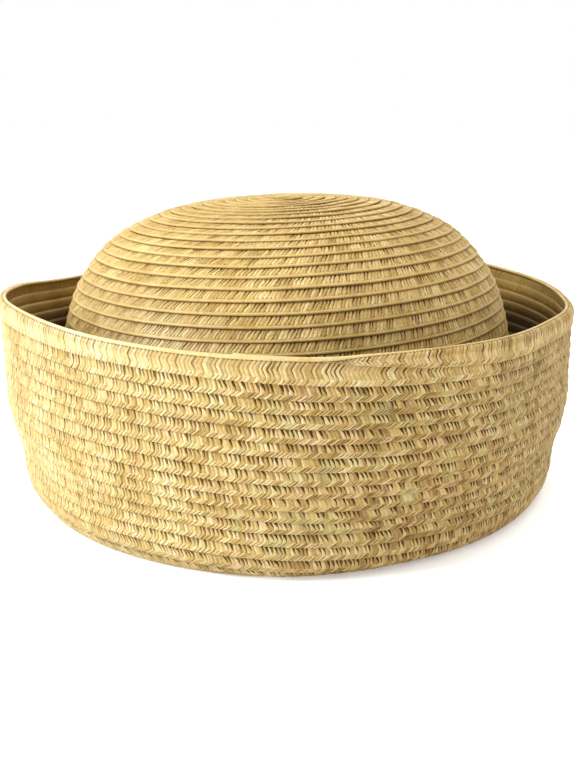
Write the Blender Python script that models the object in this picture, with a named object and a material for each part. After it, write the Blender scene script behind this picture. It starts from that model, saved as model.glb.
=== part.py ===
"""Straw hat: a domed crown and a brim that folds straight up all round.

One long braid is wound from the middle of the crown outwards and sewn row to row, down the
crown, round the fold at its foot and up the brim. All sizes are in metres and angles in degrees.
+Z is up, the front of the hat faces -Y, and the origin is the centre of the base, on the surface
that the hat rests on.
"""

import math
from collections import namedtuple

import bmesh
import bpy
from mathutils import Matrix

# Crown, on its outer face
CROWN_HALF_WIDTH = 0.0862
CROWN_HALF_LENGTH = 0.0962
CROWN_HEIGHT = 0.1096
DOME_START = 0.0310
WALL_SPREAD = 0.0035
CROWN_LEAN = 1.95

# Fold at the foot of the crown: the open trough between crown and brim. The hat rests on a narrow
# flat band under the trough, where the straw is pressed down by the settling depth.
TROUGH_AT_SIDES = 0.0107
TROUGH_AT_ENDS = 0.0157
FOLD_DEPTH = 0.0125
REST_BAND = 0.0024
SETTLE = 0.0003

# Brim, folded up
BRIM_HEIGHT = 0.0740
RIM_SPREAD_AT_SIDES = 0.0088
RIM_SPREAD_AT_ENDS = 0.0076

# Braid
WALL = 0.0018
ROW_PITCH = 0.00445
ROW_LIP = 0.0006
LIP_STEP = 0.0005
RIM_BRAID_HEIGHT = 0.0045
RIM_BRAID_THICKNESS = 0.0034
SEAM_GAP = 0.0003

# Mesh fineness
AROUND = 36
ROUNDED_STEPS = 12
PLAIN_STEPS = 10
FINE_STEPS = 240
MERGE = 0.000001

# The dome from its start to its top: shares of the crown's reach and of the dome's height
DomeSection = namedtuple("DomeSection", "reach rise")
DOME_SECTIONS = [
    DomeSection(1.00, 0.00),
    DomeSection(1.00, 0.21),
    DomeSection(0.975, 0.43),
    DomeSection(0.895, 0.65),
    DomeSection(0.75, 0.83),
    DomeSection(0.54, 0.94),
    DomeSection(0.32, 0.985),
    DomeSection(0.00, 1.00),
]

# How the brim spreads as it rises: shares of its height above the fold and of its spread
BrimSection = namedtuple("BrimSection", "rise spread")
BRIM_SECTIONS = [
    BrimSection(0.00, 0.00),
    BrimSection(0.10, 0.10),
    BrimSection(0.26, 0.47),
    BrimSection(0.40, 0.70),
    BrimSection(0.60, 0.79),
    BrimSection(0.80, 0.88),
    BrimSection(1.00, 1.00),
]

# How the plan departs from an oval, anticlockwise from +X: shares of the reach from the middle,
# on the crown and at the rim, and how far the soft rim rises or dips as a share of its height
PlanStation = namedtuple("PlanStation", "azimuth crown rim rise")
PLAN_STATIONS = [
    PlanStation(0, 0.016, 0.00, -0.06),
    PlanStation(30, 0.004, 0.07, -0.03),
    PlanStation(60, -0.010, -0.01, 0.05),
    PlanStation(90, 0.002, -0.045, 0.045),
    PlanStation(120, 0.000, 0.02, -0.03),
    PlanStation(150, 0.004, 0.01, -0.055),
    PlanStation(180, 0.007, -0.025, 0.02),
    PlanStation(210, -0.016, -0.01, 0.055),
    PlanStation(240, 0.000, 0.00, 0.02),
    PlanStation(270, 0.021, 0.025, 0.00),
    PlanStation(300, -0.010, 0.02, 0.00),
    PlanStation(330, -0.016, -0.05, -0.03),
]

# One point of the half-section of the straw's upper face. opening is 0 up to the fold and 1 at
# the rim, and says how much of the plan's departure from an oval applies.
Point = namedtuple("Point", "half_width half_length height opening")


def between(low, high, share):
    return low + (high - low) * share


def curve_through(places, values, at):
    """The value at a place on a smooth curve through the given values."""
    last = len(places) - 2
    i = min(max(sum(place <= at for place in places) - 1, 0), last)

    def slope(k):
        a, b = max(k - 1, 0), min(k + 1, last + 1)
        return (values[b] - values[a]) / (places[b] - places[a])

    span = places[i + 1] - places[i]
    t = min(max((at - places[i]) / span, 0), 1)
    start = (1 + 2 * t) * (1 - t) ** 2 * values[i]
    end = (3 - 2 * t) * t**2 * values[i + 1]
    start_slope = t * (1 - t) ** 2 * span * slope(i)
    end_slope = -(t**2) * (1 - t) * span * slope(i + 1)
    return start + end + start_slope + end_slope


def plan_share(column, azimuth):
    """A column of the plan's table at an azimuth, on a curve that closes on itself."""
    turns = [PLAN_STATIONS[-2:], PLAN_STATIONS, PLAN_STATIONS[:3]]
    places = [s.azimuth + 360 * (k - 1) for k, turn in enumerate(turns) for s in turn]
    values = [getattr(s, column) for turn in turns for s in turn]
    return curve_through(places, values, azimuth)


def crown_points():
    """The crown's outer face, from the top to its foot."""
    points = []
    order = list(range(len(DOME_SECTIONS)))
    reaches = [section.reach for section in DOME_SECTIONS]
    rises = [section.rise for section in DOME_SECTIONS]
    for step in range(FINE_STEPS + 1):
        at = order[-1] * (1 - step / FINE_STEPS)
        reach = curve_through(order, reaches, at)
        height = between(DOME_START, CROWN_HEIGHT, curve_through(order, rises, at))
        points.append(Point(CROWN_HALF_WIDTH * reach, CROWN_HALF_LENGTH * reach, height, 0))
    foot_width, foot_length = CROWN_HALF_WIDTH + WALL_SPREAD, CROWN_HALF_LENGTH + WALL_SPREAD
    points.append(Point(foot_width, foot_length, FOLD_DEPTH, 0))
    return points


def fold_points(steps):
    """The bottom of the trough, from the crown's foot to the brim's, as half of an oval."""
    foot = crown_points()[-1]
    points = []
    for step in range(steps + 1):
        angle = math.radians(180 * step / steps)
        across = (1 - math.cos(angle)) / 2
        height = FOLD_DEPTH - (FOLD_DEPTH - WALL + SETTLE) * math.sin(angle)
        half_width = foot.half_width + TROUGH_AT_SIDES * across
        half_length = foot.half_length + TROUGH_AT_ENDS * across
        points.append(Point(half_width, half_length, height, 0))
    return points


def brim_points(below_rim):
    """The brim's inner face, from the fold up to a distance below the rim."""
    foot = fold_points(2)[-1]
    top_share = 1 - below_rim / (BRIM_HEIGHT - FOLD_DEPTH)
    rises = [section.rise for section in BRIM_SECTIONS]
    spreads = [section.spread for section in BRIM_SECTIONS]
    points = []
    for step in range(FINE_STEPS + 1):
        rise = top_share * step / FINE_STEPS
        spread = curve_through(rises, spreads, rise)
        half_width = foot.half_width + RIM_SPREAD_AT_SIDES * spread
        half_length = foot.half_length + RIM_SPREAD_AT_ENDS * spread
        points.append(Point(half_width, half_length, between(FOLD_DEPTH, BRIM_HEIGHT, rise), rise))
    return points


class Face:
    """A stretch of the half-section that is read by the distance along it."""

    def __init__(self, points):
        self.points = points
        self.distances = [0.0]
        for a, b in zip(points, points[1:]):
            reach = (b.half_width - a.half_width + b.half_length - a.half_length) / 2
            self.distances.append(self.distances[-1] + math.hypot(reach, b.height - a.height))
        self.length = self.distances[-1]

    def ring(self, distance, lift):
        """The point at a distance, lifted off the face: above 0 on the straw's upper side."""
        distance = min(max(distance, 0), self.length)
        last = len(self.points) - 2
        i = min(max(sum(d <= distance for d in self.distances) - 1, 0), last)
        a, b = self.points[i], self.points[i + 1]
        span = self.distances[i + 1] - self.distances[i]
        share = (distance - self.distances[i]) / span
        reach = (b.half_width - a.half_width + b.half_length - a.half_length) / 2
        outwards = -(b.height - a.height) / span * lift
        upwards = reach / span * lift
        point = Point(*(between(low, high, share) for low, high in zip(a, b)))
        return Point(
            max(point.half_width + outwards, 0),
            max(point.half_length + outwards, 0),
            max(point.height + upwards, 0),
            point.opening,
        )


def plain(face, lift, steps, start=0, end=None):
    """Evenly spaced rings along a stretch of a face that shows no rows."""
    end = face.length if end is None else end
    return [face.ring(between(start, end, step / steps), lift) for step in range(steps + 1)]


def rows(face, first, lift, lip_towards_rim):
    """Rings along a face with a lip at one edge of each row, which laps over the next row."""
    side = 1 if lift >= 0 else -1
    rings = []
    for row in range(int((face.length - first) / ROW_PITCH + MERGE)):
        start, end = first + row * ROW_PITCH, first + (row + 1) * ROW_PITCH
        if lip_towards_rim:
            rings.append(face.ring(start + LIP_STEP, lift))
            rings.append(face.ring(end, lift + side * ROW_LIP))
        else:
            rings.append(face.ring(start, lift + side * ROW_LIP))
            rings.append(face.ring(end - LIP_STEP, lift))
    return rings


def crown_place(azimuth, ring):
    """A ring's place on the crown, which leans a little towards -X above its foot."""
    reach = 1 + plan_share("crown", math.degrees(azimuth))
    x = ring.half_width * reach * math.cos(azimuth)
    y = ring.half_length * reach * math.sin(azimuth)
    share = min((ring.height - FOLD_DEPTH) / (DOME_START - FOLD_DEPTH), 1)
    lean = math.radians(CROWN_LEAN) * max(share, 0)
    above = ring.height - DOME_START
    return (x - lean * max(above, 0), y, ring.height + lean * x)


def brim_place(azimuth, ring):
    """A ring's place on the brim, whose plan leaves the crown's towards the rim."""
    degrees = math.degrees(azimuth)
    low, high = plan_share("crown", degrees), plan_share("rim", degrees)
    reach = 1 + between(low, high, ring.opening)
    rise = plan_share("rise", degrees) * ring.opening * BRIM_HEIGHT
    x = ring.half_width * reach * math.cos(azimuth)
    y = ring.half_length * reach * math.sin(azimuth)
    return (x, y, ring.height + rise)


def straw(name, colour, roughness):
    material = bpy.data.materials.new(name)
    material.use_nodes = True
    shader = material.node_tree.nodes["Principled BSDF"]
    shader.inputs["Base Color"].default_value = (*colour, 1)
    shader.inputs["Roughness"].default_value = roughness
    shader.inputs["Metallic"].default_value = 0
    material.diffuse_color = (*colour, 1)
    return material


def loft(name, rings, place, material):
    """One closed body through the rings, whose ends meet in a loop or each in a point."""
    bm = bmesh.new()
    steps = len(rings) - 1
    bmesh.ops.create_grid(bm, x_segments=AROUND, y_segments=steps, size=0.5)
    for vert in bm.verts:
        column = round((vert.co.x + 0.5) * AROUND) % AROUND
        ring = rings[round((vert.co.y + 0.5) * steps)]
        vert.co = place(math.radians(360 * column / AROUND), ring)
    bmesh.ops.remove_doubles(bm, verts=bm.verts, dist=MERGE)
    bmesh.ops.recalc_face_normals(bm, faces=bm.faces)
    mesh = bpy.data.meshes.new(name)
    bm.to_mesh(mesh)
    bm.free()
    mesh.shade_smooth()
    mesh.set_sharp_from_angle(angle=math.radians(30))
    mesh.materials.append(material)
    body = bpy.data.objects.new(name, mesh)
    bpy.context.scene.collection.objects.link(body)
    return body


def build_crown(material):
    """The domed shell, ribbed by its rows outside and plain inside, open below."""
    face = Face(crown_points())
    top = face.ring(0, 0)
    outside = rows(face, ROW_PITCH, 0, lip_towards_rim=True)
    foot_outside = face.ring(face.length, 0)
    inside = plain(face, -WALL, PLAIN_STEPS)
    peak = inside[0]._replace(half_width=0, half_length=0)
    return loft("crown", [top, *outside, foot_outside, *reversed(inside[1:]), peak], crown_place, material)


def build_brim(material):
    """The fold under the crown's foot and the wall that it turns up into, ribbed on both sides."""
    fold = fold_points(FINE_STEPS)
    fold[0] = fold[0]._replace(height=fold[0].height - SEAM_GAP)
    trough_face = Face(fold)
    wall_face = Face(brim_points(RIM_BRAID_HEIGHT + SEAM_GAP))
    first_row = wall_face.length % ROW_PITCH
    trough = plain(trough_face, 0, ROUNDED_STEPS)
    lowest = trough_face.length / 2
    inner_turn = plain(trough_face, -WALL, ROUNDED_STEPS // 2, end=lowest - REST_BAND / 2)
    outer_turn = plain(trough_face, -WALL, ROUNDED_STEPS // 2, start=lowest + REST_BAND / 2)
    underside = inner_turn + outer_turn
    inside = rows(wall_face, first_row, 0, lip_towards_rim=True)
    outside = rows(wall_face, first_row, -WALL, lip_towards_rim=False)
    edge = [wall_face.ring(wall_face.length, -WALL / 2), wall_face.ring(wall_face.length, -WALL)]
    loop = [*trough, *inside, *edge, *reversed(outside), *reversed(underside)]
    return loft("brim", [*loop, loop[0]], brim_place, material)


def build_rim_braid(material):
    """The last row, a soft rounded edge that stands on the brim and laps over both its faces."""
    wall_face = Face(brim_points(RIM_BRAID_HEIGHT))
    base = wall_face.ring(wall_face.length, -WALL / 2)
    section = []
    for step in range(ROUNDED_STEPS // 2 + 1):
        angle = math.radians(180 * step * 2 / ROUNDED_STEPS)
        across = RIM_BRAID_THICKNESS / 2 * math.cos(angle)
        height = base.height + RIM_BRAID_HEIGHT * math.sin(angle) ** 0.5
        section.append(Point(base.half_width + across, base.half_length + across, height, base.opening))
    return loft("rim_braid", [*section, section[0]], brim_place, material)


def centre(bodies):
    """Moves the bodies together until the middle of their outline is over the origin."""
    places = [vert.co for body in bodies for vert in body.data.vertices]
    middle = [(min(p[axis] for p in places) + max(p[axis] for p in places)) / 2 for axis in (0, 1)]
    for body in bodies:
        body.data.transform(Matrix.Translation((-middle[0], -middle[1], 0)))


for old in list(bpy.data.objects):
    bpy.data.objects.remove(old)

hat = [
    build_crown(straw("crown_straw", (0.62, 0.47, 0.26), 0.75)),
    build_brim(straw("brim_straw", (0.66, 0.50, 0.28), 0.75)),
    build_rim_braid(straw("rim_straw", (0.70, 0.54, 0.31), 0.7)),
]
centre(hat)
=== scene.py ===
"""Straw hat: the look of the hat, built round its solids.

The whole hat is one long braid of straw, wound from the middle of the crown outwards and sewn row
to row. Here it is made as that braid: a closed strip whose columns follow the single straws, laid
along the hat's half-section while it winds. Sizes are in metres unless a name says otherwise, and
azimuths in degrees, anticlockwise from +X seen from above. The front of the hat faces -Y.
"""

import math
from collections import namedtuple

import bmesh
import bpy
import numpy as np
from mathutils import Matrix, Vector


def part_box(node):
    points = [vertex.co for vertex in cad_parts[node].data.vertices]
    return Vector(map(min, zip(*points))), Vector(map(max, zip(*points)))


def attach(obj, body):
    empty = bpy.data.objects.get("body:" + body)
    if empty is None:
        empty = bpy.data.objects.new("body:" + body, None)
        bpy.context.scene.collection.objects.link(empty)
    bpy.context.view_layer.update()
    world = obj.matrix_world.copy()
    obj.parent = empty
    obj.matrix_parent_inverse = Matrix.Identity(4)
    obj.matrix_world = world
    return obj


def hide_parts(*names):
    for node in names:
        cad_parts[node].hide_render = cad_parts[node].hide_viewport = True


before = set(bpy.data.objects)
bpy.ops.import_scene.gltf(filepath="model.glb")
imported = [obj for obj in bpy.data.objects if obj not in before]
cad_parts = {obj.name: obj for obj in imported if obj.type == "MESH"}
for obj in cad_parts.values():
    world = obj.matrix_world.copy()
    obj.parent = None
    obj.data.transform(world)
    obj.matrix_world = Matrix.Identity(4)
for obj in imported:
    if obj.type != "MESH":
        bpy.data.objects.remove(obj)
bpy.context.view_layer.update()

# The hat's form, with the sizes of its solids
CROWN_HALF_WIDTH = 0.0862
CROWN_HALF_LENGTH = 0.0962
CROWN_HEIGHT = 0.1096
DOME_START = 0.0310
WALL_SPREAD = 0.0035
CROWN_LEAN = 1.95
TROUGH_AT_SIDES = 0.0107
TROUGH_AT_ENDS = 0.0157
FOLD_DEPTH = 0.0125
SETTLE = 0.0003
BRIM_HEIGHT = 0.0740
RIM_SPREAD_AT_SIDES = 0.0088
RIM_SPREAD_AT_ENDS = 0.0076
RIM_HALF_THICKNESS = 0.0017
RIM_DEPTH = 0.0045
WALL = 0.0018
ROW_PITCH = 0.00445
SOLIDS_AROUND = 36

DomeSection = namedtuple("DomeSection", "reach rise")
DOME_SECTIONS = [
    DomeSection(1.00, 0.00),
    DomeSection(1.00, 0.21),
    DomeSection(0.975, 0.43),
    DomeSection(0.895, 0.65),
    DomeSection(0.75, 0.83),
    DomeSection(0.54, 0.94),
    DomeSection(0.32, 0.985),
    DomeSection(0.00, 1.00),
]

BrimSection = namedtuple("BrimSection", "rise spread")
BRIM_SECTIONS = [
    BrimSection(0.00, 0.00),
    BrimSection(0.10, 0.10),
    BrimSection(0.26, 0.47),
    BrimSection(0.40, 0.70),
    BrimSection(0.60, 0.79),
    BrimSection(0.80, 0.88),
    BrimSection(1.00, 1.00),
]

PlanStation = namedtuple("PlanStation", "azimuth crown rim rise")
PLAN_STATIONS = [
    PlanStation(0, 0.016, 0.00, -0.06),
    PlanStation(30, 0.004, 0.07, -0.03),
    PlanStation(60, -0.010, -0.01, 0.05),
    PlanStation(90, 0.002, -0.045, 0.045),
    PlanStation(120, 0.000, 0.02, -0.03),
    PlanStation(150, 0.004, 0.01, -0.055),
    PlanStation(180, 0.007, -0.025, 0.02),
    PlanStation(210, -0.016, -0.01, 0.055),
    PlanStation(240, 0.000, 0.00, 0.02),
    PlanStation(270, 0.021, 0.025, 0.00),
    PlanStation(300, -0.010, 0.02, 0.00),
    PlanStation(330, -0.016, -0.05, -0.03),
]

# The braid. A place across it is counted in mm from its scalloped inner edge to its smooth outer
# edge; its right side shows outside the crown, its wrong side outside the brim.
BRAID_WIDTH_MM = 7.0
BRAID_WIDTH = BRAID_WIDTH_MM / 1000
SMOOTH_EDGE = 0.0010
SHINGLE_SLOPE = 0.13
SCALLOP = 0.0002
POLE_RADIUS = 0.0003
KNOT_HALF_WIDTH = 0.0026
KNOT_HALF_HEIGHT = 0.0009
KNOT_LIFT = -0.0006
MERGE = 0.000001

# How finely the half-section and a turn of the braid's course are worked out, and more corners than
# the knot has
SECTION_SAMPLES = 600
COURSE_SAMPLES = 400
MOST_CORNERS = 1000

# Straws lie in pairs. Columns of the strip in each pair: place as a share of the pair, and relief,
# which is 1 on a straw and -1 in the gap between two pairs. The straws' lead grows towards +X by
# lead_turn times the azimuth's cosine.
Column = namedtuple("Column", "share relief")
Weave = namedtuple("Weave", "pair lead_turn columns")
CROWN_WEAVE = Weave(
    0.0027,
    -1.0,
    [Column(0.00, -1.0), Column(0.25, 1.0), Column(0.50, -0.4), Column(0.76, 0.9)],
)
BRIM_WEAVE = Weave(
    0.0028,
    0.5,
    [Column(0.00, -1.0), Column(0.14, 0.7), Column(0.38, 1.0), Column(0.50, -0.5), Column(0.76, 0.9)],
)

# Unevenness of a thing sewn by hand: how far rows and straws stray, and a row's bends in a turn
ROW_WAVER = 0.00015
ROW_BENDS = 23
ROW_SEED = 5
LIFT_WAVER = 0.00015
LIFT_BENDS = 17
LIFT_SEED = 8
STRAW_SHAKE = 0.00016
RELIEF_SHAKE = 0.5
LEAD_SHAKE = 0.00015

# Rings of the strip round the braid's section: place across (mm), rise off the middle of the braid
# on its right side (mm), lead of the straws along the braid (mm) and relief of a straw (mm)
Ring = namedtuple("Ring", "across rise lead relief")
CROWN_OUTSIDE = [
    Ring(2.3, 0.38, 0.80, 0.04),
    Ring(3.2, 0.42, 0.60, 0.16),
    Ring(4.3, 0.46, 0.00, 0.15),
    Ring(5.5, 0.40, -0.50, 0.06),
    Ring(5.95, 0.48, -0.65, 0.00),
    Ring(6.45, 0.58, -0.65, 0.00),
    Ring(6.85, 0.44, -0.65, 0.00),
    Ring(7.05, 0.10, -0.65, 0.00),
]
CROWN_INSIDE = [
    Ring(6.4, -0.42, -0.65, 0.00),
    Ring(3.4, -0.46, 0.30, 0.10),
    Ring(0.1, -0.35, -1.90, 0.06),
]
BRIM_INSIDE = [
    Ring(2.4, 0.38, 0.95, 0.03),
    Ring(4.4, 0.60, -0.50, 0.02),
    Ring(5.8, 0.74, -0.90, 0.00),
    Ring(6.85, 0.34, -0.90, 0.00),
]
BRIM_OUTSIDE = [
    Ring(6.3, -0.45, -0.90, 0.00),
    Ring(4.2, -0.40, 0.00, 0.24),
    Ring(3.1, -0.50, 0.50, 0.22),
    Ring(1.9, -0.62, 0.95, 0.12),
    Ring(1.1, -0.68, -0.10, 0.14),
    Ring(0.35, -0.58, -1.15, 0.12),
    Ring(0.0, -0.15, -1.45, 0.04),
]
RIM_INSIDE = [
    Ring(1.5, 0.45, 0.60, 0.06),
    Ring(3.8, 0.50, 0.20, 0.12),
    Ring(5.6, 0.40, -0.80, 0.04),
    Ring(6.1, 0.66, -0.80, 0.00),
    Ring(6.6, 0.72, -0.80, 0.00),
    Ring(6.95, 0.40, -0.80, 0.00),
]
RIM_OUTSIDE = [
    Ring(6.95, -0.35, -0.40, 0.00),
    Ring(6.6, -0.72, -0.10, 0.00),
    Ring(6.15, -0.68, 0.30, 0.00),
    Ring(5.85, -0.36, 0.90, 0.04),
    Ring(5.3, -0.60, 0.50, 0.16),
    Ring(4.6, -0.68, -0.10, 0.16),
    Ring(3.9, -0.66, -0.45, 0.18),
    Ring(2.9, -0.64, 0.05, 0.18),
    Ring(1.7, -0.68, 0.75, 0.12),
    Ring(1.0, -0.70, 0.25, 0.14),
    Ring(0.35, -0.60, -0.50, 0.12),
    Ring(0.0, -0.15, -0.85, 0.04),
]

# Winding. A turn of 0 is the braid's end at the rim, and turns before it are below 0.
END_AZIMUTH = 262.0
BRIM_STEP_START = 0.925
BRIM_STEP_WIDTH = 0.236
CROWN_STEP_START = 0.30
CROWN_STEP_WIDTH = 0.444
CROWN_PHASE = 0.02
FOLD_ROWS = 6.0
TAIL_TUCK = 0.0014
TAIL_TUCK_TURNS = 0.05
RIM_TURN_START = 1.09
RIM_TURN_RISE = 0.07
RIM_ROLL = 0.0006

# The last turn, which rounds the rim: turns before its end, how far it reaches below the rim in
# rows, the radius (mm) and the angle (degrees) of its curl over the rim, and how far it is set
# inwards (mm)
RimStation = namedtuple("RimStation", "before_end rows curl bend inset")
RIM_STATIONS = [
    RimStation(0.000, 0.33, 0.30, 70, 0.60),
    RimStation(0.030, 0.33, 0.35, 70, -0.20),
    RimStation(0.042, 0.45, 0.55, 90, -0.40),
    RimStation(0.053, 0.70, 0.85, 110, -0.45),
    RimStation(0.071, 0.97, 1.10, 120, -0.50),
    RimStation(0.081, 1.20, 1.30, 125, -0.60),
    RimStation(0.125, 1.62, 1.60, 125, -0.70),
    RimStation(0.270, 1.63, 1.80, 122, -0.70),
    RimStation(0.600, 1.63, 1.50, 130, -0.70),
    RimStation(0.770, 1.63, 1.80, 140, -0.40),
    RimStation(0.850, 1.63, 1.10, 120, -0.30),
    RimStation(0.930, 1.63, 0.80, 95, -0.10),
    RimStation(1.000, 1.63, 0.60, 80, 0.10),
]
RIM_BEFORE_END = [station.before_end for station in RIM_STATIONS]
LAST_ROW_PITCHES = RIM_STATIONS[-1].rows

# Camera and light
CAMERA_DISTANCE = 0.47396
CAMERA_HEIGHT = 0.14717
CAMERA_TILT = 0.2317
CAMERA_LENS_MM = 57.52
CAMERA_SHIFT = (0.00137, 0.00182)
NEAREST_SEEN = 0.01
FLOOR_HALF = 4.0
FLOOR_GREY = 0.93
FLOOR_GLOW = 0.27
SKY_STRENGTH = 1.0
LIGHTS_AIM_HEIGHT = 0.05

Lamp = namedtuple("Lamp", "name at size power colour")
LAMPS = [
    Lamp("key", (-1.55, -0.42, 0.85), 0.9, 48, (0.97, 1.05, 1.17)),
    Lamp("top", (0.3, 0.1, 1.9), 1.0, 20, (1.03, 1.0, 0.94)),
]


def between(low, high, share):
    return low + (high - low) * share


def ease(share):
    share = np.clip(share, 0, 1)
    return share * share * (3 - 2 * share)


def curve_through(places, values, at):
    """Values at places on a smooth curve through a table's points."""
    places, values = np.asarray(places, float), np.asarray(values, float)
    last = len(places) - 1
    before = np.maximum(np.arange(last + 1) - 1, 0)
    after = np.minimum(np.arange(last + 1) + 1, last)
    slopes = (values[after] - values[before]) / (places[after] - places[before])
    i = np.clip(np.searchsorted(places, at, side="right") - 1, 0, last - 1)
    span = places[i + 1] - places[i]
    t = np.clip((at - places[i]) / span, 0, 1)
    ends = (1 + 2 * t) * (1 - t) ** 2 * values[i] + (3 - 2 * t) * t**2 * values[i + 1]
    return ends + t * (1 - t) ** 2 * span * slopes[i] - t**2 * (1 - t) * span * slopes[i + 1]


def plan_table():
    """Whole degrees round the plan, and the three columns of the plan's table there."""
    degrees = np.arange(361)
    turns = [PLAN_STATIONS[-2:], PLAN_STATIONS, PLAN_STATIONS[:3]]
    places = [s.azimuth + 360 * (k - 1) for k, turn in enumerate(turns) for s in turn]
    columns = []
    for column in ("crown", "rim", "rise"):
        values = [getattr(s, column) for turn in turns for s in turn]
        columns.append(curve_through(places, values, degrees))
    return degrees, columns


PLAN_DEGREES, PLAN_COLUMNS = plan_table()


def half_section():
    """The right side of the straw from the crown's top over the fold to the rim.

    Columns: half width, half length, height and opening, which is 0 up to the fold and 1 at the rim.
    """
    steps = SECTION_SAMPLES
    at = np.linspace(len(DOME_SECTIONS) - 1, 0, steps)
    order = range(len(DOME_SECTIONS))
    reach = curve_through(order, [s.reach for s in DOME_SECTIONS], at)
    rise = curve_through(order, [s.rise for s in DOME_SECTIONS], at)
    none = np.zeros(steps)
    dome_height = between(DOME_START, CROWN_HEIGHT, rise)
    dome = np.stack([CROWN_HALF_WIDTH * reach, CROWN_HALF_LENGTH * reach, dome_height, none])

    angle = np.linspace(0, math.pi, steps)
    across = (1 - np.cos(angle)) / 2
    foot_width, foot_length = CROWN_HALF_WIDTH + WALL_SPREAD, CROWN_HALF_LENGTH + WALL_SPREAD
    trough = FOLD_DEPTH - (FOLD_DEPTH - WALL + SETTLE) * np.sin(angle)
    fold_width = foot_width + TROUGH_AT_SIDES * across
    fold_length = foot_length + TROUGH_AT_ENDS * across
    fold = np.stack([fold_width, fold_length, trough, none])

    rise = np.linspace(0, 1, steps)
    spread = curve_through([s.rise for s in BRIM_SECTIONS], [s.spread for s in BRIM_SECTIONS], rise)
    brim_width = fold_width[-1] + RIM_SPREAD_AT_SIDES * spread
    brim_length = fold_length[-1] + RIM_SPREAD_AT_ENDS * spread
    brim = np.stack([brim_width, brim_length, between(FOLD_DEPTH, BRIM_HEIGHT, rise), rise])
    return np.concatenate([dome, fold, brim[:, 1:]], axis=1), steps


SECTION, FOOT_INDEX = half_section()
SECTION_REACH = (SECTION[0] + SECTION[1]) / 2
SECTION_STEPS = np.hypot(np.diff(SECTION_REACH), np.diff(SECTION[2]))
SECTION_DISTANCE = np.concatenate([[0], np.cumsum(SECTION_STEPS)])
FOOT = SECTION_DISTANCE[FOOT_INDEX]
RIM = SECTION_DISTANCE[-1]
OUTWARD_SLOPE = np.gradient(SECTION_REACH, SECTION_DISTANCE)
UPWARD_SLOPE = np.gradient(SECTION[2], SECTION_DISTANCE)


def place(azimuth, distance, lift):
    """Points of the hat: round it, down its half-section, and lifted off the straw's right side."""
    width, length, height, opening = (np.interp(distance, SECTION_DISTANCE, c) for c in SECTION)
    beyond = np.maximum(distance - RIM, 0)
    outward = -np.interp(distance, SECTION_DISTANCE, UPWARD_SLOPE) * lift
    height = height + np.interp(distance, SECTION_DISTANCE, OUTWARD_SLOPE) * lift + beyond
    degrees = np.mod(azimuth, 360)
    crown, rim, rise = (np.interp(degrees, PLAN_DEGREES, c) for c in PLAN_COLUMNS)
    reach = 1 + between(crown, rim, opening)
    angle = np.radians(azimuth)
    x = (np.maximum(width + outward, 0)) * reach * np.cos(angle)
    y = (np.maximum(length + outward, 0)) * reach * np.sin(angle)
    height = height + rise * opening * BRIM_HEIGHT
    on_crown = distance < FOOT
    share = np.clip((height - FOLD_DEPTH) / (DOME_START - FOLD_DEPTH), 0, 1) * on_crown
    lean = math.radians(CROWN_LEAN) * share
    x_leaning = x - lean * np.maximum(height - DOME_START, 0)
    return np.stack([x_leaning, y, np.maximum(height + lean * x, 0)], axis=-1)


def middle_of_solids():
    """How far the solids were moved when they were centred, read from the rim's own box."""
    azimuths = np.arange(SOLIDS_AROUND) * 360 / SOLIDS_AROUND
    outer = place(azimuths, RIM - RIM_DEPTH, -WALL / 2 - RIM_HALF_THICKNESS)
    low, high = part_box("rim_braid")
    middle = (Vector(low) + Vector(high)) / 2
    made = (outer.min(axis=0) + outer.max(axis=0)) / 2
    return np.array([middle.x - made[0], middle.y - made[1], 0])


SHIFT = middle_of_solids()


def rows_wound(turns, start, width):
    """Whole rows gained after some turns, each over one stretch of its turn."""
    whole = np.floor(turns - start)
    return whole + ease((turns - start - whole) / width)


def wander(turn, per_turn, seed):
    """A smooth random course along the braid between -1 and 1, with so many bends in a turn."""
    knots = np.random.RandomState(seed).uniform(-1, 1, MOST_TURNS * per_turn)
    at = np.clip(-turn * per_turn + per_turn, 0, len(knots) - 2)
    low = np.floor(at).astype(int)
    return between(knots[low], knots[low + 1], ease(at - low))


def crown_rows_below_rim():
    """The crown's rows counted from the rim where its steps start, in phase with the photo's rows."""
    in_phase = (RIM + BRAID_WIDTH) / ROW_PITCH + CROWN_PHASE
    average_brim = LAST_ROW_PITCHES - BRIM_STEP_START + (1 - BRIM_STEP_WIDTH) / 2
    average_crown = -CROWN_STEP_START + (1 - CROWN_STEP_WIDTH) / 2
    wanted = average_brim - average_crown
    return wanted + np.mod(in_phase - wanted + 0.5, 1) - 0.5


def rim_column(column, before_end):
    """A column of the last turn's table, at some turns before the braid's end."""
    return np.interp(before_end, RIM_BEFORE_END, [getattr(s, column) for s in RIM_STATIONS])


def inner_edge(turn):
    """Distance down the section of the braid's scalloped edge at a turn."""
    before_end = -turn
    steps = rows_wound(before_end, BRIM_STEP_START, BRIM_STEP_WIDTH)
    on_brim = LAST_ROW_PITCHES + np.where(before_end < BRIM_STEP_START, 0, steps)
    on_crown = CROWN_ROWS_BELOW_RIM + rows_wound(before_end, CROWN_STEP_START, CROWN_STEP_WIDTH)
    rows_to_foot = (RIM - FOOT) / ROW_PITCH
    rows = between(on_brim, on_crown, ease((before_end - rows_to_foot + FOLD_ROWS) / FOLD_ROWS))
    last_rows = rim_column("rows", before_end)
    rows = np.where(before_end < BRIM_STEP_START, last_rows, rows)
    waver = ROW_WAVER * wander(turn, ROW_BENDS, ROW_SEED) * np.clip(before_end / 2, 0, 1)
    return RIM - rows * ROW_PITCH + waver


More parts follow.
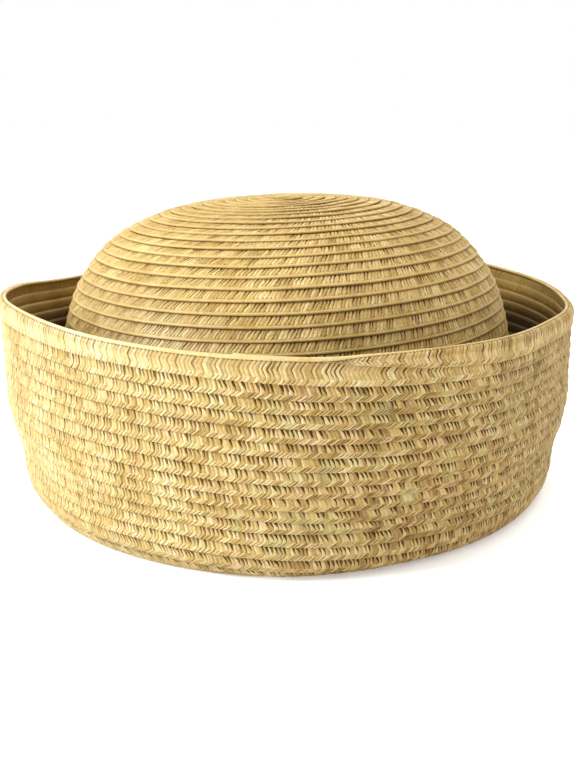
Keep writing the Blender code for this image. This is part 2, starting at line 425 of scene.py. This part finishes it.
def braid_point(turn, ring, relief):
    """Points of one ring of the braid's section. relief is 1 on a straw and -1 between two."""
    before_end = -turn
    low = inner_edge(turn)
    curl = rim_column("curl", before_end) / 1000
    bend = np.radians(rim_column("bend", before_end))
    flat_end = RIM - RIM_ROLL - curl
    over_rim = flat_end - low + curl * bend
    on_rim = ease((RIM_TURN_START - before_end) / RIM_TURN_RISE)
    width = between(np.minimum(BRAID_WIDTH, over_rim), over_rim, on_rim)
    across = ring.across / 1000
    soft_part = BRAID_WIDTH - SMOOTH_EDGE
    scallop = SCALLOP * relief if ring.across == 0 else 0
    in_soft_part = min(across / soft_part, 1) * np.maximum(width - SMOOTH_EDGE, MERGE)
    path = low - scallop + in_soft_part + max(across - soft_part, 0)

    side = 1 if ring.rise > 0 else -1
    rise = (ring.rise + side * ring.relief * relief) / 1000
    tilt = (across - BRAID_WIDTH / 2) * SHINGLE_SLOPE
    tilt = between(tilt, rim_column("inset", before_end) / 1000, on_rim)
    tuck = TAIL_TUCK * np.clip(1 - before_end / TAIL_TUCK_TURNS, 0, 1)
    turned = np.clip((path - flat_end) / curl, 0, bend)
    lift = tilt + tuck - WALL / 2 + LIFT_WAVER * wander(turn, LIFT_BENDS, LIFT_SEED)
    lift = lift + curl * (1 - np.cos(turned)) + rise * np.cos(turned)
    distance = np.minimum(path, flat_end) + np.maximum(curl - rise, 0) * np.sin(turned)
    azimuth = END_AZIMUTH - 360 * turn
    return place(azimuth, np.maximum(distance, POLE_RADIUS), lift) + SHIFT


Columns = namedtuple("Columns", "turn speed azimuth at_pair ridge lead_shake")


def straw_columns(first_turn, last_turn, weave):
    """The columns of a stretch of braid: where each lies along it, and whether on a straw."""
    knots = np.linspace(-first_turn, -last_turn, COURSE_SAMPLES * math.ceil(first_turn - last_turn))
    middle = Ring(BRAID_WIDTH_MM / 2, MERGE, 0, 0)
    course = braid_point(knots, middle, 0)
    steps = np.linalg.norm(np.diff(course, axis=0), axis=1)
    travelled = np.concatenate([[0], np.cumsum(steps)])
    pairs = round(travelled[-1] / weave.pair)
    count = pairs * len(weave.columns) + 1
    pair, part = np.divmod(np.arange(count), len(weave.columns))
    at_pair = pair + np.array([column.share for column in weave.columns])[part]
    shake = np.random.RandomState(pairs).uniform(-1, 1, (3, count))
    along = at_pair / pairs * travelled[-1]
    along[1:-1] += shake[0, 1:-1] * STRAW_SHAKE
    turn = np.interp(along, travelled, knots)
    ridge = np.array([column.relief for column in weave.columns])[part]
    return Columns(
        turn=turn,
        speed=np.interp(along, travelled, np.gradient(travelled, knots)),
        azimuth=np.radians(END_AZIMUTH - 360 * turn),
        at_pair=at_pair,
        ridge=ridge * (1 + RELIEF_SHAKE * shake[1]),
        lead_shake=shake[2] * LEAD_SHAKE,
    )


def strip_points(columns, rings, weave):
    """Points of a strip of braid, a row of columns for each ring."""
    rows = []
    for ring in rings:
        lead = ring.lead * (1 + weave.lead_turn * np.cos(columns.azimuth)) / 1000
        lead = lead + columns.lead_shake * (ring.relief > 0)
        rows.append(braid_point(columns.turn - lead / columns.speed, ring, columns.ridge))
    return np.stack(rows)


def braid_map(columns, rings):
    """Where a strip's points lie on the map of the braid: along it in straws, and round it."""
    shares = [ring.across / BRAID_WIDTH_MM for ring in rings]
    round_section = [2 - share if ring.rise < 0 else share for share, ring in zip(shares, rings)]
    round_section[0] = 0
    along, around = np.meshgrid(2 * columns.at_pair, round_section)
    return np.stack([along, around], axis=-1)


def add_piece(name, mesh):
    mesh.shade_smooth()
    piece = bpy.data.objects.new(name, mesh)
    bpy.context.scene.collection.objects.link(piece)
    return piece


def braid_strip(name, first_turn, last_turn, rings, weave):
    """A stretch of braid as one closed strip, between two turns counted back from its end."""
    columns = straw_columns(first_turn, last_turn, weave)
    closed = [rings[-1], *rings]
    last_column, last_row = len(columns.turn) - 1, len(rings)
    bm = bmesh.new()
    bm.loops.layers.uv.new("braid")
    bmesh.ops.create_grid(bm, x_segments=last_column, y_segments=last_row, size=0.5)
    mesh = bpy.data.meshes.new(name)
    bm.to_mesh(mesh)

    flat = np.empty(len(mesh.vertices) * 3)
    mesh.vertices.foreach_get("co", flat)
    flat = flat.reshape(-1, 3)
    column = np.rint((flat[:, 0] + 0.5) * last_column).astype(int)
    row = np.rint((flat[:, 1] + 0.5) * last_row).astype(int)
    mesh.vertices.foreach_set("co", strip_points(columns, closed, weave)[row, column].ravel())
    corners = np.empty(len(mesh.loops), dtype=np.int32)
    mesh.loops.foreach_get("vertex_index", corners)
    uv = braid_map(columns, closed)[row, column][corners]
    mesh.uv_layers["braid"].uv.foreach_set("vector", uv.ravel())

    bm.clear()
    bm.from_mesh(mesh)
    bm.verts.ensure_lookup_table()
    seam = [bm.verts[k] for k in np.flatnonzero((row == 0) | (row == last_row))]
    bmesh.ops.remove_doubles(bm, verts=seam, dist=MERGE)
    open_edges = [edge for edge in bm.edges if edge.is_boundary]
    bmesh.ops.holes_fill(bm, edges=open_edges, sides=0)
    bmesh.ops.recalc_face_normals(bm, faces=bm.faces)
    bm.to_mesh(mesh)
    bm.free()
    return add_piece(name, mesh)


def own_number(face):
    """A number that only this face of a mesh has, from the three lowest of its corners."""
    low, middle, high = sorted(corner.index for corner in face.verts)[:3]
    return (low * MOST_CORNERS + middle) * MOST_CORNERS + high


def crown_centre():
    """The braid's start, folded into a small flat knot that closes the middle of the crown.

    bmesh lists a sphere's faces in another order each run, so they are sorted.
    """
    bm = bmesh.new()
    bm.loops.layers.uv.new("braid")
    bmesh.ops.create_uvsphere(bm, u_segments=36, v_segments=18, radius=1, calc_uvs=True)
    bmesh.ops.scale(bm, verts=bm.verts, vec=(KNOT_HALF_WIDTH, KNOT_HALF_WIDTH, KNOT_HALF_HEIGHT))
    bmesh.ops.translate(bm, verts=bm.verts, vec=place(0, 0, KNOT_LIFT) + SHIFT)
    bm.verts.index_update()
    bm.faces.sort(key=own_number)
    mesh = bpy.data.meshes.new("crown_centre")
    bm.to_mesh(mesh)
    bm.free()
    return add_piece("crown_centre", mesh)


class Wire:
    """A socket of a material's nodes, whose sums, products and comparisons add Math nodes."""

    def __init__(self, finish, socket):
        self.finish = finish
        self.socket = socket

    def maths(self, operation, *others):
        return self.finish.node("ShaderNodeMath", {"operation": operation}, [self, *others])

    def __add__(self, other):
        return self.maths("ADD", other)

    def __sub__(self, other):
        return self.maths("SUBTRACT", other)

    def __rsub__(self, other):
        return self.maths("MULTIPLY_ADD", -1.0, other)

    def __mul__(self, other):
        return self.maths("MULTIPLY", other)

    def __gt__(self, other):
        return self.maths("GREATER_THAN", other)

    def __abs__(self):
        return self.maths("ABSOLUTE")

    __radd__ = __add__
    __rmul__ = __mul__

    def ramp(self, start, end, low=0.0, high=1.0):
        """This value mapped from a range to another, eased and held at its ends."""
        settings = {"interpolation_type": "SMOOTHSTEP"}
        return self.finish.node("ShaderNodeMapRange", settings, [self, start, end, low, high])


class Finish:
    """A material and the nodes that are added to it."""

    def __init__(self, name):
        self.material = bpy.data.materials.new(name)
        self.material.use_nodes = True
        self.tree = self.material.node_tree
        self.shader = self.tree.nodes["Principled BSDF"]

    def node(self, kind, settings=None, values=(), output=0):
        """One output of a new node, which is fed with values by place or by name."""
        made = self.tree.nodes.new(kind)
        for key, value in (settings or {}).items():
            if key == "stops":
                self.set_stops(made.color_ramp, value)
            else:
                setattr(made, key, value)
        pairs = values.items() if isinstance(values, dict) else enumerate(values)
        for key, value in pairs:
            if isinstance(value, Wire):
                self.tree.links.new(value.socket, made.inputs[key])
            else:
                made.inputs[key].default_value = value
        return Wire(self, made.outputs[output])

    def set_stops(self, color_ramp, stops):
        while len(color_ramp.elements) < len(stops):
            color_ramp.elements.new(1.0)
        for element, (position, colour) in zip(color_ramp.elements, stops):
            element.position = position
            element.color = (*colour, 1)

    def mix(self, share, low, high):
        """Two colours mixed: a share of 0 is the low one, 1 the high one."""
        settings = {"data_type": "RGBA"}
        low = low if isinstance(low, Wire) else (*low, 1)
        high = high if isinstance(high, Wire) else (*high, 1)
        return self.node("ShaderNodeMix", settings, {0: share, 6: low, 7: high}, output=2)

    def random(self, value, seed):
        """A random number from 0 to 1 for each whole number that the value takes."""
        settings = {"noise_dimensions": "2D"}
        spot = self.node("ShaderNodeCombineXYZ", None, [value, seed, 0.0])
        return self.node("ShaderNodeTexWhiteNoise", settings, {"Vector": spot})

    def clouds(self, vector, scale, detail):
        values = {"Vector": vector, "Scale": scale, "Detail": detail}
        return self.node("ShaderNodeTexNoise", None, values)

    def parts(self, vector):
        """The X, Y and Z of a vector."""
        x = self.node("ShaderNodeSeparateXYZ", None, [vector])
        return [Wire(self, socket) for socket in x.socket.node.outputs]

    def feed(self, name, value):
        """Give one of the shader's own inputs a value."""
        socket = self.shader.inputs[name]
        if isinstance(value, Wire):
            self.tree.links.new(value.socket, socket)
        else:
            socket.default_value = value


BraidSpot = namedtuple(
    "BraidSpot",
    "spot x height across from_lip wrong_side right_side smooth_edge lower_limb woven contrast "
    "straw gap off_middle patches grain fibres",
)


def braid_spot(finish, look):
    """Where a point lies on the braid, with the straws' wavering and the clouds that tone them."""
    u, y, _ = finish.parts(finish.node("ShaderNodeUVMap", {"uv_map": "braid"}))
    spot = finish.node("ShaderNodeTexCoord", output=3)
    x, _, height = finish.parts(spot)
    wrong_side = y > 1.0
    right_side = 1.0 - wrong_side
    across = (1.0 - abs(1.0 - y)) * BRAID_WIDTH_MM
    from_lip = wrong_side * (PITCH_MM - across) + right_side * (across - BRAID_WIDTH_MM + PITCH_MM)
    smooth_edge = from_lip.ramp(look.edge, look.edge + EDGE_BLEND) * right_side
    smooth_edge = smooth_edge + across.ramp(STITCHES, STITCHES + STITCH_WIDTH) * wrong_side
    u = u + (finish.clouds(spot, WARP_CLOUDS, 1.0) - 0.5) * look.warp
    straw = u.maths("FLOOR")
    fibre_place = [u * FIBRES_IN_STRAW, across * FIBRES_IN_MM, straw]
    fibre_spot = finish.node("ShaderNodeCombineXYZ", None, fibre_place)
    # Painted light and shade by side: the straws' tones and gaps are evened out towards the hat's lit
    # left and shaded right
    in_front = x.ramp(*LEFT_SIDE, look.contrast_at_left, CONTRAST_IN_FRONT)
    return BraidSpot(
        spot=spot,
        x=x,
        height=height,
        across=across,
        from_lip=from_lip,
        wrong_side=wrong_side,
        right_side=right_side,
        smooth_edge=smooth_edge,
        lower_limb=(from_lip > LIMBS_MEET) * wrong_side,
        woven=wrong_side + right_side * look.right_weave,
        contrast=in_front * x.ramp(*RIGHT_SIDE, 1.0, CONTRAST_AT_RIGHT),
        straw=straw,
        gap=u.maths("ROUND"),
        off_middle=abs(u - straw - 0.5) * 2.0,
        patches=finish.clouds(spot, PATCH_CLOUDS, 3.0),
        grain=finish.clouds(spot, GRAIN_CLOUDS, 2.0),
        fibres=finish.clouds(fibre_spot, 1.0, 2.0),
    )


def straw_colour(finish, look, at):
    """Each straw its own tone, on lighter and darker patches, with a rosy or a green tint, and painted
    light and shade by side.
    """
    own_tone = finish.random(at.straw + at.lower_limb * OTHER_LIMB, OWN_TONE_SEED)
    # Painted shade: the braid's right side is toned darker on the brim and rim, where it faces into the
    # trough
    base_tone = (at.patches - 0.5) * look.patches + at.right_side * look.right_tone + look.tone
    # Painted light and shade by side: the wrong side is toned lighter towards the hat's left and darker
    # towards its right
    base_tone = base_tone + at.wrong_side * at.x.ramp(*FRONT_MIDDLE, PAINTED_LIGHT_AT_LEFT, PAINTED_SHADE_AT_RIGHT)
    straw_tone = (own_tone - 0.5) * at.contrast * look.own_tone + (at.fibres - 0.5) * look.fibres
    tone = straw_tone * at.woven * (1.0 - at.smooth_edge * EDGE_EVENS)
    tone = tone + (at.grain - 0.5) * look.grain
    tone = tone + base_tone + at.smooth_edge * look.edge_tone
    colour = finish.node("ShaderNodeValToRGB", {"stops": STRAW_TONES}, [tone])
    tint = finish.clouds(at.spot, TINT_CLOUDS, 2.0)
    tinted = at.woven * look.tint
    colour = finish.mix(tint.ramp(*ROSY_CLOUDS) * tinted, colour, ROSY_STRAW)
    return finish.mix(tint.ramp(*GREEN_CLOUDS) * tinted, colour, GREEN_STRAW)


def straw_gap_shade(finish, look, at):
    """Painted shade in the gaps of the weave: slots under the lip, slits, notches, holes and stitches.
    """
    between_pairs = 1.0 - at.gap.maths("MODULO", 2.0)
    opened = finish.random(at.gap, SLOT_SEED) + (at.patches - 0.5) * PATCHES_OPEN
    opened = opened.ramp(look.closed, look.closed + OPENING_RANGE)
    opened = opened * (between_pairs * (1 - OPEN_IN_PAIR) + OPEN_IN_PAIR)
    slot_width = at.from_lip.ramp(0.0, SLOTS_NARROW, look.slot, NARROW_SLOT)
    slot = (at.off_middle + slot_width - 1.0).ramp(*SLOT_SIDE) * opened * at.woven
    slot = slot * at.from_lip.ramp(look.slot_end, look.slot_end - 1)
    slit = at.off_middle.ramp(*SLIT.off_middle) * finish.random(at.gap, SLIT_SEED).ramp(*SLITS_OPEN)
    slit = slit * at.from_lip.ramp(*SLITS_START) * at.from_lip.ramp(*SLITS_END) * at.lower_limb
    notch = at.off_middle.ramp(*NOTCH.off_middle) * at.from_lip.ramp(*NOTCHES_START) * at.wrong_side
    hole = at.off_middle.ramp(*HOLE.off_middle) * finish.random(at.gap, HOLE_SEED).ramp(*HOLES_OPEN)
    hole = hole * abs(at.from_lip - look.edge + HOLE_ABOVE_EDGE).ramp(*HOLE_HALF_HEIGHT)
    hole = hole * at.right_side * look.right_weave
    stitch = at.off_middle.ramp(*STITCH.off_middle) * (1 - STITCH_SHOWS) + STITCH_SHOWS
    stitch = stitch * at.wrong_side
    stitch = stitch * abs(at.across - STITCHES).ramp(*STITCH_HALF_HEIGHT)
    # The gaps' painted shade: the deepest of slot, slit, notch and hole, then the stitches' shadow
    gap_shade = slot
    for gap, depth in ((slit, SLIT.depth), (notch, NOTCH.depth), (hole, HOLE.depth)):
        gap_shade = gap_shade.maths("MAXIMUM", gap * depth)
    gap_shade = gap_shade * (1.0 - at.smooth_edge) * at.contrast
    return gap_shade.maths("MAXIMUM", stitch * STITCH.depth)


def straw_finish(name, look):
    """Plaited straw: toned straws with fine fibres, painted shade in the gaps, under the lips and in
    the trough, and a smooth rolled edge.
    """
    finish = Finish(name)
    at = braid_spot(finish, look)
    colour = straw_colour(finish, look, at)
    gap_shade = straw_gap_shade(finish, look, at)
    lip_shadow = at.from_lip.ramp(*UNDER_LIP) * (1.0 - at.smooth_edge)
    lip_shadow = lip_shadow + at.from_lip.ramp(*BEFORE_NEXT_LIP) * at.right_side
    # Painted shade down in the trough: the right side is darkened towards the bottom
    trough_shade = at.height.ramp(*TROUGH_SHADE_HEIGHTS) * at.right_side
    colour = finish.mix(lip_shadow * look.lip_shadow, colour, SHADOW_BROWN)
    colour = finish.mix(trough_shade * look.trough, colour, TROUGH_SHADE_BROWN)
    # Painted shade in the gaps of the weave, mixed in as brown
    finish.feed("Base Color", finish.mix(gap_shade * look.depth, colour, GAP_SHADE_BROWN))
    finish.feed("Roughness", at.fibres * FIBRES_ROUGHEN + SMOOTHEST_STRAW)
    finish.feed("Specular IOR Level", 0.12)
    finish.feed("Coat Weight", (1.0 - gap_shade) * look.sheen)
    finish.feed("Coat Roughness", 0.45)
    roundness = (1.0 - at.off_middle * at.off_middle) * (1.0 - at.smooth_edge) * at.woven
    height = roundness * STRAWS_RISE - gap_shade * GAPS_SINK
    height = height + at.fibres * FIBRES_RISE + at.grain * GRAIN_RISES
    bump = {"Strength": 0.9, "Distance": BUMP_DEPTH, "Height": height}
    finish.feed("Normal", finish.node("ShaderNodeBump", None, bump))
    return finish.material


def dress(piece, material, node):
    piece.data.materials.append(material)
    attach(piece, "root")
    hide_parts(node)


PITCH_MM = ROW_PITCH * 1000

# Places on the braid in mm, where something starts and where it is full: below the lip of the row
# that laps over, or across the braid for the row of stitches beside the smooth edge
UNDER_LIP = (0.9, 0.1)
BEFORE_NEXT_LIP = (4.15, 4.5)
SLOTS_NARROW = 2.7
LIMBS_MEET = 2.6
SLITS_START = (2.8, 3.1)
SLITS_END = (4.2, 3.7)
NOTCHES_START = (4.0, 4.4)
HOLE_ABOVE_EDGE = 0.15
HOLE_HALF_HEIGHT = (0.28, 0.08)
EDGE_BLEND = 0.4
STITCHES = 5.85
STITCH_WIDTH = 0.2
STITCH_HALF_HEIGHT = (0.28, 0.10)
FIBRES_IN_STRAW = 9.0
FIBRES_IN_MM = 0.8

# Gaps of the weave, in painted shade: how far off a straw's middle, as a share of its half width,
# one starts and is full, and how deep its shade is beside a slot
Gap = namedtuple("Gap", "off_middle depth")
SLIT = Gap((0.68, 0.95), 0.8)
NOTCH = Gap((0.60, 0.95), 0.7)
HOLE = Gap((0.50, 0.85), 0.8)
STITCH = Gap((0.35, 0.75), 0.8)

# Random numbers from which a slit or a hole opens; the same range for slots, what the patches add to
# it, and how far a slot opens within a pair of straws. The width of a slot where it is narrow, how
# its sides blend, and how much of a stitch's shadow runs on over a straw.
SLITS_OPEN = (0.35, 0.50)
HOLES_OPEN = (0.45, 0.60)
OPENING_RANGE = 0.3
PATCHES_OPEN = 0.8
OPEN_IN_PAIR = 0.85
NARROW_SLOT = 0.10
SLOT_SIDE = (-0.05, 0.15)
STITCH_SHOWS = 0.25

# Roughness, and the relief of the bump as shares of its depth in metres
SMOOTHEST_STRAW = 0.45
FIBRES_ROUGHEN = 0.2
BUMP_DEPTH = 0.0004
STRAWS_RISE = 0.7
GAPS_SINK = 0.6
FIBRES_RISE = 0.25
GRAIN_RISES = 0.15

# Places on the hat in metres: along X for the contrast and the tone, through which light and shade
# are painted by side, and the heights over which painted shade deepens down in the trough
LEFT_SIDE = (-0.10, 0.04)
RIGHT_SIDE = (0.05, 0.105)
FRONT_MIDDLE = (-0.06, 0.05)
TROUGH_SHADE_HEIGHTS = (0.065, 0.050)

# Contrast there beside the look's own, light and shade painted by side; the painted light at the
# left and painted shade at the right that the wrong side adds; and how far the smooth edge evens
# out the straws' tones
CONTRAST_IN_FRONT = 1.15
CONTRAST_AT_RIGHT = 0.65
PAINTED_LIGHT_AT_LEFT = 0.10
PAINTED_SHADE_AT_RIGHT = -0.07
EDGE_EVENS = 0.8

# Clouds in a metre, the part of the tint's clouds that is rosy or green, and what sets one random
# number off from another
WARP_CLOUDS = 420.0
PATCH_CLOUDS = 60.0
TINT_CLOUDS = 150.0
GRAIN_CLOUDS = 1100.0
ROSY_CLOUDS = (0.52, 0.75)
GREEN_CLOUDS = (0.48, 0.28)
OWN_TONE_SEED = 1.0
SLOT_SEED = 7.0
SLIT_SEED = 9.0
HOLE_SEED = 11.0
OTHER_LIMB = 5003.0

STRAW_TONES = [
    (0.00, (0.19, 0.097, 0.023)),
    (0.25, (0.33, 0.200, 0.047)),
    (0.50, (0.46, 0.312, 0.100)),
    (0.75, (0.57, 0.445, 0.205)),
    (1.00, (0.74, 0.670, 0.450)),
]
ROSY_STRAW = (0.62, 0.41, 0.22)
GREEN_STRAW = (0.46, 0.43, 0.18)
# Browns of painted shade: under the lips, down in the trough and in the gaps of the weave
SHADOW_BROWN = (0.24, 0.125, 0.024)
TROUGH_SHADE_BROWN = (0.05, 0.028, 0.006)
GAP_SHADE_BROWN = (0.065, 0.027, 0.005)

# How a stretch of straw looks: shares of tone that come from the straw itself, from patches, from
# fibres and from grain; the middle tone, the painted shade that the right side adds and what the
# smooth edge adds to it; share of the contrast, painted by side as light and shade, that is left at
# the hat's left; tint and waviness; width of the slots, where they end (mm below the lip), share of
# closed ones and the depth of their painted shade; share of the weave seen on the right side and
# where its smooth edge starts (mm below the lip); painted lip shadow, painted shade down in the
# trough and sheen
Look = namedtuple(
    "Look",
    "own_tone patches fibres grain tone right_tone edge_tone contrast_at_left tint warp slot slot_end "
    "closed depth right_weave edge lip_shadow trough sheen",
)
CROWN_LOOK = Look(
    own_tone=0.38, patches=0.50, fibres=0.55, grain=0.40, tone=0.41, right_tone=0.0, edge_tone=0.05,
    contrast_at_left=0.7, tint=0.20, warp=0.9, slot=0.55, slot_end=3.3, closed=0.35, depth=0.8,
    right_weave=1.0, edge=3.1, lip_shadow=0.55, trough=0.2, sheen=0.25,
)
BRIM_LOOK = Look(
    own_tone=0.52, patches=0.60, fibres=0.60, grain=0.35, tone=0.42, right_tone=-0.26, edge_tone=0.15,
    contrast_at_left=0.5, tint=0.40, warp=0.7, slot=0.66, slot_end=2.8, closed=0.20, depth=1.0,
    right_weave=0.1, edge=0.8, lip_shadow=0.35, trough=0.96, sheen=0.30,
)
RIM_LOOK = Look(
    own_tone=0.40, patches=0.50, fibres=0.60, grain=0.35, tone=0.54, right_tone=-0.15, edge_tone=0.08,
    contrast_at_left=0.4, tint=0.30, warp=0.6, slot=0.42, slot_end=2.9, closed=0.48, depth=0.8,
    right_weave=0.1, edge=0.8, lip_shadow=0.25, trough=0.4, sheen=0.30,
)


# Stretches of the braid, each under the limit on triangles: its turns counted back from the braid's
# end, its rings, weave and finish, and the slot and node that it stands for
CROWN_RINGS = CROWN_OUTSIDE + CROWN_INSIDE
BRIM_RINGS = BRIM_INSIDE + BRIM_OUTSIDE
FOLD_RINGS = BRIM_INSIDE[:1] + BRIM_INSIDE[2:] + BRIM_OUTSIDE[:1] + BRIM_OUTSIDE[2:]
RIM_RINGS = RIM_INSIDE + RIM_OUTSIDE
MOST_TURNS = math.ceil(RIM / ROW_PITCH)
Stretch = namedtuple("Stretch", "name first last rings weave finish slot node")
STRETCHES = [
    Stretch("crown_top", MOST_TURNS - 1, 40, CROWN_RINGS, CROWN_WEAVE, "crown", "crown_straw", "crown"),
    Stretch("crown_shoulder", 40, 31, CROWN_RINGS, CROWN_WEAVE, "crown", "crown_straw", "crown"),
    Stretch("crown_wall", 31, 22, CROWN_RINGS, CROWN_WEAVE, "crown", "crown_straw", "crown"),
    Stretch("fold", 22, 14, FOLD_RINGS, CROWN_WEAVE, "brim", "brim_straw", "brim"),
    Stretch("brim_lower", 14, 8, BRIM_RINGS, BRIM_WEAVE, "brim", "brim_straw", "brim"),
    Stretch("brim_upper", 8, 2, BRIM_RINGS, BRIM_WEAVE, "brim", "brim_straw", "brim"),
    Stretch("row_below_rim", 2, 1.12, BRIM_RINGS, BRIM_WEAVE, "brim", "rim_straw", "rim_braid"),
    Stretch("rim", 1.12, 0, RIM_RINGS, BRIM_WEAVE, "rim", "rim_straw", "rim_braid"),
]


def build_hat():
    finishes = {
        "crown": straw_finish("crown_straw", CROWN_LOOK),
        "brim": straw_finish("brim_straw", BRIM_LOOK),
        "rim": straw_finish("rim_straw", RIM_LOOK),
    }
    for stretch in STRETCHES:
        piece = braid_strip(stretch.name, stretch.first, stretch.last, stretch.rings, stretch.weave)
        dress(piece, finishes[stretch.finish], stretch.node)
    dress(crown_centre(), finishes["crown"], "crown")


def build_floor():
    bm = bmesh.new()
    bmesh.ops.create_grid(bm, x_segments=1, y_segments=1, size=FLOOR_HALF)
    mesh = bpy.data.meshes.new("floor")
    bm.to_mesh(mesh)
    bm.free()
    floor = bpy.data.objects.new("floor", mesh)
    bpy.context.scene.collection.objects.link(floor)
    finish = Finish("floor_paper")
    finish.feed("Base Color", (FLOOR_GREY, FLOOR_GREY, FLOOR_GREY, 1))
    finish.feed("Roughness", 0.9)
    finish.feed("Emission Color", (1, 1, 1, 1))
    finish.feed("Emission Strength", FLOOR_GLOW)
    mesh.materials.append(finish.material)


def build_light():
    world = bpy.data.worlds.new("studio")
    world.use_nodes = True
    background = world.node_tree.nodes["Background"]
    background.inputs["Color"].default_value = (1, 1, 1, 1)
    background.inputs["Strength"].default_value = SKY_STRENGTH
    bpy.context.scene.world = world
    middle = Vector((SHIFT[0], SHIFT[1], LIGHTS_AIM_HEIGHT))
    for lamp in LAMPS:
        data = bpy.data.lights.new(lamp.name, "AREA")
        data.size = lamp.size
        data.energy = lamp.power
        data.color = lamp.colour
        light = bpy.data.objects.new(lamp.name, data)
        light.location = lamp.at
        light.rotation_euler = (middle - light.location).to_track_quat("-Z", "Y").to_euler()
        bpy.context.scene.collection.objects.link(light)


def build_camera():
    data = bpy.data.cameras.new("camera")
    data.lens = CAMERA_LENS_MM
    data.shift_x, data.shift_y = CAMERA_SHIFT
    data.clip_start = NEAREST_SEEN
    camera = bpy.data.objects.new("camera", data)
    camera.location = (SHIFT[0], SHIFT[1] - CAMERA_DISTANCE, CAMERA_HEIGHT)
    camera.rotation_euler = (math.pi / 2 - CAMERA_TILT, 0, 0)
    bpy.context.scene.collection.objects.link(camera)
    bpy.context.scene.camera = camera


CROWN_ROWS_BELOW_RIM = crown_rows_below_rim()
build_camera()
build_light()
build_floor()
build_hat()
bpy.context.scene.view_settings.view_transform = "Standard"
